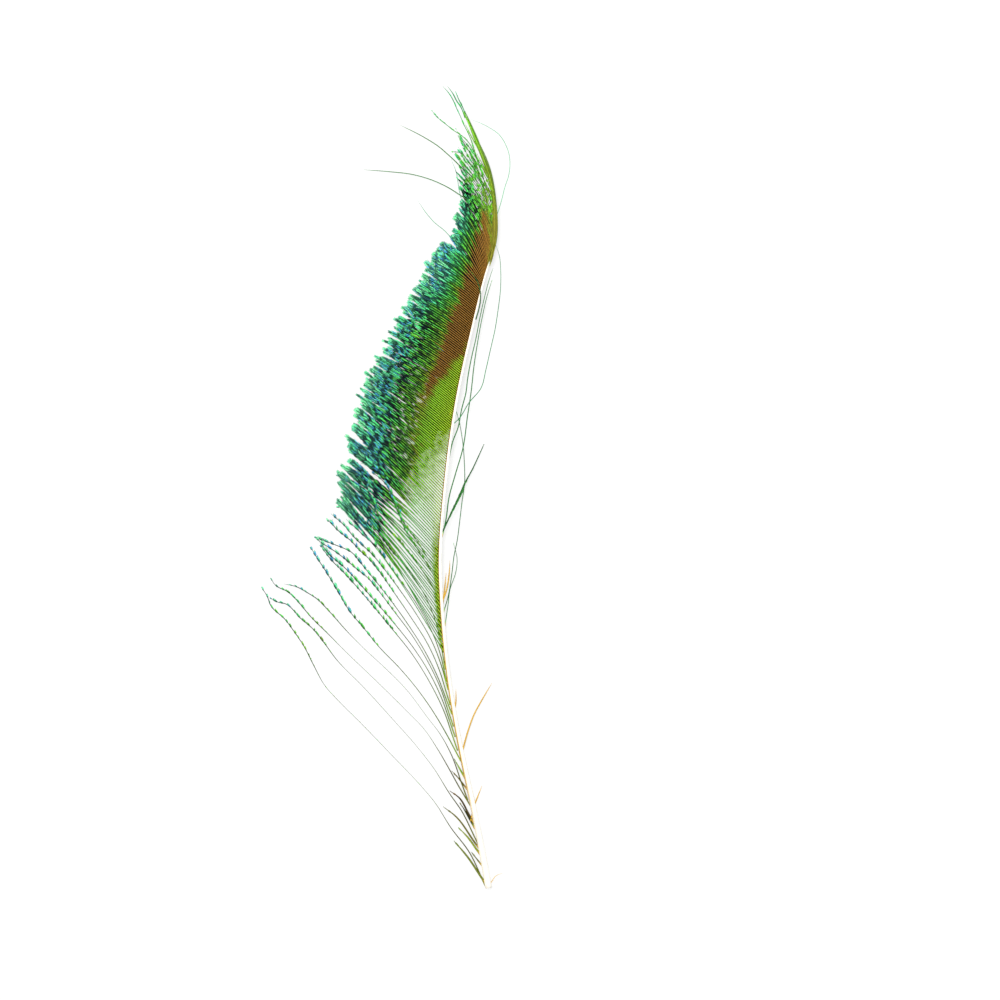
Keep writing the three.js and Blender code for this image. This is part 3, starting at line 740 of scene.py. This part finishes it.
def plain_barb(base, layer, count, turn=0.0, shift=(0, 0)):
    """Middle line of a barb of the vane as it would lie alone."""
    angle = math.radians(column(VANE, 3, base))
    end = math.radians(column(VANE, 4, base) + turn)
    start = np.array([shaft_x(base) - 0.3 * column(SHAFT, 2, base), base, shaft_middle(base)])
    tip = np.array([column(VANE, 1, base), column(VANE, 2, base), layer])
    tip[:2] += shift
    reach = np.linalg.norm(tip - start) / 3
    leave = np.array([-math.cos(angle) * reach, math.sin(angle) * reach, LEAVE_RISE])
    arrive = np.array([math.cos(end) * reach, -math.sin(end) * reach, ARRIVE_RISE])
    return bezier(start, start + leave, tip + arrive, tip, count)


def barb_line(base, number, rng):
    """A barb of the vane, pushed by its bunch and the splits beside it, and the distance to the next one."""
    straight = math.dist((shaft_x(base), base), (column(VANE, 1, base), column(VANE, 2, base)))
    count = max(8, int(BARB_SLACK * straight / BARB_STEP))
    layer = TIP_LAYERS[number % len(TIP_LAYERS)] + rng.uniform(-0.15, 0.25)
    end = math.radians(column(VANE, 4, base))
    longer = rng.normal(0.2, 1.0)
    aside = rng.normal(0, 0.1)
    shift = (-math.cos(end) * longer + math.sin(end) * aside, math.sin(end) * longer + math.cos(end) * aside)
    unruly = 1 - ease(140, 150, base)
    line = plain_barb(base, layer, count, rng.normal(0, 0.4 + 4 * unruly), shift)
    beside = plain_barb(base - column(PITCH, 1, base), layer, count)
    _, right, _ = directions(line)
    spread = np.abs(np.sum((beside - plain_barb(base, layer, count)) * right, axis=1))
    share = np.linspace(0, 1, count)
    push = BUNCHES(base) * ease(0.74, 1, share)
    for split, opens, half in SPLITS:
        away = base - split
        opened = ease(opens, opens + 0.35, share)
        push = push + math.copysign(half, away) * math.exp(-abs(away) / SPLIT_REACH) * opened
    push = push + 0.1 * wander(rng, share * 30, 9) * ease(0.1, 0.5, share)
    push = push + rng.normal(0.3, 0.6) * ease(0.84, 1, share)
    line[:, 0] += push * math.sin(end)
    line[:, 1] += push * math.cos(end)
    return line, spread


def make_bunches(rng):
    """Barbs lean together in bunches: how far each one is pushed along the edge by its base's place."""
    knots, pushes = [], []
    y = VANE[0, 0]
    while y < VANE[-1, 0]:
        size = rng.uniform(3, 6.5) * column(PITCH, 1, y)
        strength = rng.uniform(0.1, 0.4)
        knots += [y, y + size * 0.999]
        pushes += [strength * size / 2, -strength * size / 2]
        y += size
    return lambda base: np.interp(base, knots, pushes)


def make_uneven(rng):
    """Smooth noise from -1 to 1 along the shaft."""
    knots = np.arange(VANE[0, 0], VANE[-1, 0] + UNEVEN_STEP, UNEVEN_STEP)
    values = rng.uniform(-1, 1, len(knots))
    return lambda base: np.interp(base, knots, values)


BUNCHES = make_bunches(np.random.default_rng(SEED))
UNEVEN = make_uneven(np.random.default_rng(SEED + 1))


def make_vane(material):
    """The vane's barbs, in several pieces along the shaft."""
    bases = vane_bases()
    high = math.inf
    number = 0
    for name, low in VANE_PIECES.items():
        chosen = bases[(bases >= low) & (bases < high)]
        growth = Growth(len(chosen))
        for base in chosen:
            rng = draws("vane", number)
            line, spread = barb_line(base, number, rng)
            draw_barb(growth, line, vane_look(line, base, spread, rng), rng)
            number += 1
        growth.build(name, material)
        high = low


# ---- Strands, crown, hairs and stubs ----
STRAND_LAYERS = (0.3, 0.9, 1.5, 2.2)  # heights of the ends of neighbouring strands
CROSSING_LAYER = 3.2  # the crossing strands lie over the vane
STUB_LAYER = 0.6  # height of the stubs' ends
LOWEST_START = 0.6  # no strand or stub starts nearer to the quill's cut end than this
SHEATH_TOP = 4.6  # the barbs along the shaft's top stay under this height


def lay_out(path, tip_height, base_height=None, reach=0.7):
    """A strand's line in space, from the height of the shaft down to the surface."""
    path = np.asarray(path, float)
    flat = hermite(path, max(6, int(lengths(path)[-1] / BARB_STEP)))
    share = np.linspace(0, 1, len(flat))
    base = shaft_middle(path[0, 1]) if base_height is None else base_height
    height = base + (tip_height - base) * ease(0, reach, share)
    return np.column_stack([flat, height])


def from_shaft(path):
    """The path with a first point added inside the shaft, straight behind its first two."""
    first, second = np.array(path[0]), np.array(path[1])
    back = (first - second) / np.linalg.norm(first - second)
    inside = shaft_x(first[1]) - 0.1 * column(SHAFT, 2, first[1])
    reach = max(inside - first[0], 0.3) / max(back[0], 0.3)
    if back[1] < 0:
        reach = min(reach, (first[1] - LOWEST_START) / -back[1])
    return [tuple(first + back * reach)] + path


def make_strands(material):
    """The loose lower strands, and the strands that cross the vane's lower barbs."""
    growth = Growth(len(STRANDS) + len(CROSSING))
    for number, path in enumerate(STRANDS):
        rng = draws("strands", number)
        line = lay_out(from_shaft(path), STRAND_LAYERS[number % len(STRAND_LAYERS)])
        draw_barb(growth, line, strand_look(line, rng, 0.72 if number < 4 else 0.5), rng)
    for number, path in enumerate(CROSSING.values()):
        rng = draws("crossing", number)
        line = lay_out(path, CROSSING_LAYER)
        draw_barb(growth, line, strand_look(line, rng, 0.15), rng)
    growth.build("strands", material)


def sheath_path(rng, leave, aside):
    """Along the shaft's top from where the vane bends up, then away to the left, as far up as leave."""
    kept = SHEATH_ARC[SHEATH_ARC[:, 1] < min(leave, 326.6)]
    share = np.linspace(0, 1, len(kept))
    offset = aside * np.interp(share, (0, 0.3, 1), (0.3, 0.7, 0.45))
    offset = offset - 1.6 * ease(0.75, 1, share) * (leave < 330)
    kept = kept + np.column_stack([offset, np.zeros(len(kept))])
    kept[:, 0] += rng.normal(0, 0.12, len(kept))
    return kept


def draw_sheath(growth):
    """The barbs that run along the top of the shaft and cover it."""
    for number, (leave, aside) in enumerate(SHEATH):
        rng = draws("sheath", number)
        path = sheath_path(rng, leave, aside - 0.3 * (number % 2))[number % 2:]
        flat = hermite(path, int(lengths(path)[-1] / BARB_STEP))
        y = flat[:, 1]
        top = column(SHAFT, 3, y) + column(SHAFT, 2, y)
        height = np.interp(y, (256, 262, 303, 316, 336), (-0.4, 0.15, 0.25, 0.25, 0.4)) + top
        height = np.minimum(height + 0.12 * (number % 3), SHEATH_TOP)
        line = np.column_stack([flat, height])[number * 5 % 7:]
        y = line[:, 1]
        look = hair_look(line, 0.16, rng.uniform(0.2, 0.5), 0.62 if number < 4 else 0.5, 0.6)
        look.tone[:, ZONE] = np.interp(y, (280, 295, 310, 325), (0.1, 0.16, 0.26, 0.34))
        look.stem_light *= np.interp(y, (270, 300, 325), (0.55, 1.1, 1.7))
        look.stem *= 1 + 0.6 * ease(302, 325, y)
        look.stem *= 0.3 + 0.7 * ease(0, 3, lengths(line))
        look.broken = ease(290, 303, y)
        look.bright = look.stem_light + 0.1
        look.reach *= 0.7
        draw_barb(growth, line, look, rng)


def draw_tips(growth):
    """The tips of the crown. The highest are the finest."""
    fine = {"stem": 0.3, "reach": 0.9, "blade": 0.3}
    bushy = {"stem": 0.22, "reach": 1.5, "blade": 0.4}
    for number, path in enumerate(TIPS.values()):
        rng = draws("tips", number)
        line = lay_out(path, 0.5 + 0.4 * (number % 3), base_height=1.8)
        y = line[:, 1]
        look = hair_look(line, 0.46, 0.3, fringe=1.0, rooted=False, **(fine if path[-1][1] > 320 else bushy))
        look.tone[:, ZONE] += 0.2 * ease(314, 326, y)
        look.fringe *= 1 - 0.9 * ease(331, 336, y)
        look.stem *= 1 + 0.9 * ease(324, 334, y)
        look.gap *= 0.2
        look.bright += 0.25
        # The painted shade on the proximal side is lighter on the crown's tips.
        look.underside += 0.4
        draw_barb(growth, line, look, rng)


def make_crown(material):
    growth = Growth(len(SHEATH) + len(TIPS))
    draw_sheath(growth)
    draw_tips(growth)
    growth.build("crown", material)


def make_hairs(material):
    """Stray hairs beside the shaft and beyond the vane's edge. The fully fringed one is like a leaf."""
    growth = Growth(len(HAIRS))
    for number, (zone, light, stem, fringe, low, reach, path) in enumerate(HAIRS.values()):
        rng = draws("hairs", number)
        leaf = fringe == 1
        line = lay_out(path, low, base_height=low if low > 4 else None, reach=1.0)
        blade = 0.4 if leaf else 0.28 + 0.1 * fringe
        rooted = path[0][1] < 210 and not leaf
        look = hair_look(line, zone, light, stem, fringe, reach=reach, blade=blade, rooted=rooted)
        if leaf:
            share = lengths(line) / lengths(line)[-1]
            look.broken[:] = 0
            look.bright = 0.45 - 0.3 * share
            look.angle[:] = 0.2
            look.reach = reach * np.interp(share, (0, 0.15, 0.4, 0.6, 0.8), (0.3, 0.8, 1, 0.4, 0.2))
        draw_barb(growth, line, look, rng)
    growth.build("hairs", material)


def make_stubs(material):
    """Short broken barbs along the quill, and orange ones beside it."""
    growth = Growth(len(STUBS))
    for number, (zone, brown, light, stem, fringe, path) in enumerate(STUBS.values()):
        rng = draws("stubs", number)
        line = lay_out(from_shaft(path), STUB_LAYER, reach=1.0)
        look = hair_look(line, zone, light, stem, fringe, brown, reach=0.9, blade=0.34)
        look.proximal = 0.9
        draw_barb(growth, line, look, rng)
    growth.build("stubs", material)


# ---- The shaft ----
def make_shaft(material):
    """The quill and shaft: a slim bar, flattened below, with a pale cut end."""
    sides = 20
    line = hermite(SHAFT[:, [1, 0]], 160)
    y = line[:, 1]
    width = column(SHAFT, 2, y)
    middle = column(SHAFT, 3, y) + width / 2
    half = (width * np.interp(y, (255, 275, 316), (1, 0.75, 0.5)) / 2)[:, None]
    angle = 2 * math.pi * (np.arange(sides) + 0.5) / sides
    rise = half * np.maximum(np.sin(angle), -0.92)
    points = tube_points(np.column_stack([line, middle]), half * np.cos(angle), rise)
    piece = new_piece("shaft", points.reshape(-1, 3), 0, tube_faces(len(line), sides), material)
    y = np.repeat(y, sides)
    mark(piece, "across", np.tile((np.cos(angle) + 1) / 2, len(line)))
    mark(piece, "along", ease(90, 150, y))
    mark(piece, "cut", 0.8 - 0.8 * ease(15, 55, y))
    mark(piece, "sheathed", ease(259, 266, y))
    piece.data.polygons.foreach_set("use_smooth", np.ones(len(piece.data.polygons), bool))


# ---- Materials ----
# Colours are sRGB with parts from 0 to 255. The lists go from the shaft, 0, to the vane's edge, 1.
BRIGHT = [
    (0.0, (232, 186, 60)), (0.06, (214, 188, 56)), (0.14, (186, 214, 36)), (0.3, (150, 232, 48)),
    (0.48, (112, 246, 74)), (0.62, (98, 252, 138)), (0.78, (108, 252, 184)), (0.9, (130, 254, 180)),
    (1.0, (146, 254, 186)),
]
DARK = [
    (0.0, (140, 98, 22)), (0.14, (44, 72, 6)), (0.3, (12, 31, 15)), (0.48, (4, 22, 21)),
    (0.62, (4, 20, 26)), (0.78, (6, 26, 36)), (0.9, (14, 50, 52)), (1.0, (34, 96, 80)),
]
BROWN_BRIGHT, BROWN_DARK = (164, 116, 40), (22, 19, 5)
BLUE_BRIGHT, BLUE_DARK = (84, 178, 250), (12, 34, 66)

# Across the shaft from left to right, along the quill and along its upper part. On the quill the darker
# cream at the right edge is partly its cream-tan edge and partly painted shade.
QUILL = [
    (0.0, (150, 108, 40)), (0.24, (204, 164, 84)), (0.38, (244, 230, 190)), (0.52, (255, 254, 249)),
    (0.9, (254, 252, 243)), (1.0, (236, 222, 186)),
]
UPPER_SHAFT = [
    (0.0, (92, 58, 20)), (0.2, (150, 106, 50)), (0.3, (246, 234, 200)), (0.46, (255, 253, 246)),
    (1.0, (254, 253, 248)),
]
CUT_END, SHEATHED, STREAKS = (253, 249, 238), (98, 132, 38), (232, 214, 176)


def linear(colour):
    """Linear RGBA from an sRGB colour with parts from 0 to 255."""
    parts = [c / 255 for c in colour]
    return [c / 12.92 if c <= 0.04045 else ((c + 0.055) / 1.055) ** 2.4 for c in parts] + [1]


class Nodes:
    """Short names for the shader nodes of one material."""

    def __init__(self, name):
        self.material = bpy.data.materials.new(name)
        self.material.use_nodes = True
        self.tree = self.material.node_tree

    def new(self, kind, **values):
        node = self.tree.nodes.new(kind)
        for key, value in values.items():
            setattr(node, key, value)
        return node

    def put(self, value, socket):
        """Another node's output, or a plain value, into a socket."""
        if isinstance(value, bpy.types.NodeSocket):
            self.tree.links.new(value, socket)
        else:
            socket.default_value = value

    def attribute(self, name):
        return self.new("ShaderNodeAttribute", attribute_name=name).outputs

    def ramp(self, factor, stops):
        node = self.new("ShaderNodeValToRGB")
        elements = node.color_ramp.elements
        while len(elements) < len(stops):
            elements.new(0.5)
        for element, (place, colour) in zip(elements, stops):
            element.position = place
            element.color = linear(colour)
        self.put(factor, node.inputs["Fac"])
        return node.outputs["Color"]

    def mix(self, factor, a, b, blend="MIX"):
        """Two colours, each another node's output or an sRGB colour."""
        node = self.new("ShaderNodeMix", data_type="RGBA", blend_type=blend)
        self.put(factor, node.inputs[0])
        for value, socket in ((a, node.inputs[6]), (b, node.inputs[7])):
            self.put(linear(value) if isinstance(value, tuple) else value, socket)
        return node.outputs[2]

    def maths(self, operation, a, b):
        node = self.new("ShaderNodeMath", operation=operation, use_clamp=True)
        for value, socket in zip((a, b), node.inputs):
            self.put(value, socket)
        return node.outputs[0]

    def noise(self, scale, detail):
        node = self.new("ShaderNodeTexNoise")
        self.put(scale, node.inputs["Scale"])
        self.put(detail, node.inputs["Detail"])
        self.put(self.new("ShaderNodeTexCoord").outputs["Object"], node.inputs["Vector"])
        return node.outputs["Fac"]

    def surface(self, values):
        """The material, with values for the inputs of its shader."""
        for key, value in values.items():
            self.put(value, self.tree.nodes["Principled BSDF"].inputs[key])
        return self.material


def barb_material():
    """Colours follow each vertex's zone from the shaft to the edge, and its light, brown and glint."""
    nodes = Nodes("barbs")
    tone = nodes.attribute("tone")
    parts = nodes.new("ShaderNodeSeparateColor")
    nodes.put(tone["Color"], parts.inputs["Color"])
    zone, brown, light = parts.outputs
    grain = nodes.maths("ADD", nodes.maths("MULTIPLY", nodes.noise(900, 3), 0.5), 0.25)
    shade = nodes.maths("MULTIPLY", nodes.maths("MULTIPLY", light, grain), 2.0)
    # Bright and dark versions of each zone's colour, mixed by the light: partly the feather's own colour,
    # partly painted light and shade.
    green = nodes.mix(shade, nodes.ramp(zone, DARK), nodes.ramp(zone, BRIGHT))
    blue = nodes.mix(shade, BLUE_DARK, BLUE_BRIGHT)
    teal = nodes.mix(nodes.maths("MULTIPLY", tone["Alpha"], 0.85), green, blue)
    earth = nodes.mix(shade, BROWN_DARK, BROWN_BRIGHT)
    return nodes.surface({
        "Base Color": nodes.mix(brown, teal, earth),
        "Roughness": 0.5,
        "Metallic": 0.1,
        "Specular IOR Level": 0.25,
    })


def shaft_material():
    """Tan along the left edge, cream over the top with a darker right edge on the quill that is partly
    painted shade, paler at the cut end, green where barbs cover it.
    """
    nodes = Nodes("shaft")
    across = nodes.attribute("across")["Fac"]
    along, cut, sheathed = [nodes.attribute(name)["Fac"] for name in ("along", "cut", "sheathed")]
    colour = nodes.mix(along, nodes.ramp(across, QUILL), nodes.ramp(across, UPPER_SHAFT))
    colour = nodes.mix(cut, colour, CUT_END)
    colour = nodes.mix(sheathed, colour, SHEATHED)
    streaks = nodes.maths("MULTIPLY", nodes.noise(260, 4), 0.12)
    colour = nodes.mix(streaks, colour, STREAKS, "MULTIPLY")
    return nodes.surface({"Base Color": colour, "Roughness": 0.35})


# ---- Camera, light and floor ----
SENSOR, LENS = 36, 90  # width of the camera's sensor, and its lens
FIELD_HEIGHT = 2  # height above the surface at which the render and the photograph match
FLOOR_HALF = 3.0  # metres
FLOOR_DROP = 0.00005  # metres, so that the feather's underside and the floor aren't one plane
WORLD_STRENGTH = 0.72
LIGHTS = {
    # place and width in metres, power in watts
    "key": ((-0.4, 0.45, 1.5), 0.9, 18),
    "fill": ((0.5, -0.2, 1.6), 1.2, 3.5),
}


def make_camera():
    """Straight above, so that the render and the photograph cover the same field."""
    data = bpy.data.cameras.new("camera")
    data.sensor_width, data.lens = SENSOR, LENS
    data.clip_start, data.clip_end = 0.01, 20
    field = PHOTO_SIDE * PHOTO_PIXEL * METRE
    height = field * data.lens / data.sensor_width + FIELD_HEIGHT * METRE
    camera = bpy.data.objects.new("camera", data)
    camera.location = ((PHOTO_CENTRE[0] + ROW_X) * METRE, (PHOTO_CENTRE[1] + ROW_Y) * METRE, height)
    bpy.context.scene.collection.objects.link(camera)
    bpy.context.scene.camera = camera


def make_light(name, place, width, power):
    """A round lamp that looks at the middle of the feather."""
    data = bpy.data.lights.new(name, "AREA")
    data.shape = "DISK"
    data.size = width
    data.energy = power
    light = bpy.data.objects.new(name, data)
    light.location = place
    light.rotation_euler = (-Vector(place)).to_track_quat("-Z", "Y").to_euler()
    bpy.context.scene.collection.objects.link(light)


def make_floor():
    """A white floor that glows a little, so that it stays white under the feather's soft shadow."""
    mesh = bpy.data.meshes.new("floor")
    corners = [(x * FLOOR_HALF, y * FLOOR_HALF, 0) for x, y in ((-1, -1), (1, -1), (1, 1), (-1, 1))]
    mesh.from_pydata(corners, [], [(0, 1, 2, 3)])
    mesh.materials.append(Nodes("white_floor").surface({
        "Base Color": (0.3, 0.3, 0.3, 1),
        "Roughness": 0.9,
        "Specular IOR Level": 0.1,
        "Emission Color": (1, 1, 1, 1),
        "Emission Strength": 0.66,
    }))
    floor = bpy.data.objects.new("floor", mesh)
    floor.location.z = -FLOOR_DROP
    bpy.context.scene.collection.objects.link(floor)


def make_studio():
    make_floor()
    world = bpy.data.worlds.new("studio")
    world.use_nodes = True
    background = world.node_tree.nodes["Background"]
    background.inputs["Color"].default_value = (1, 1, 1, 1)
    background.inputs["Strength"].default_value = WORLD_STRENGTH
    bpy.context.scene.world = world
    for name, (place, width, power) in LIGHTS.items():
        make_light(name, place, width, power)
    bpy.context.scene.view_settings.view_transform = "Standard"


make_camera()
barbs = barb_material()
make_vane(barbs)
make_strands(barbs)
make_crown(barbs)
make_hairs(barbs)
make_stubs(barbs)
make_shaft(shaft_material())
make_studio()
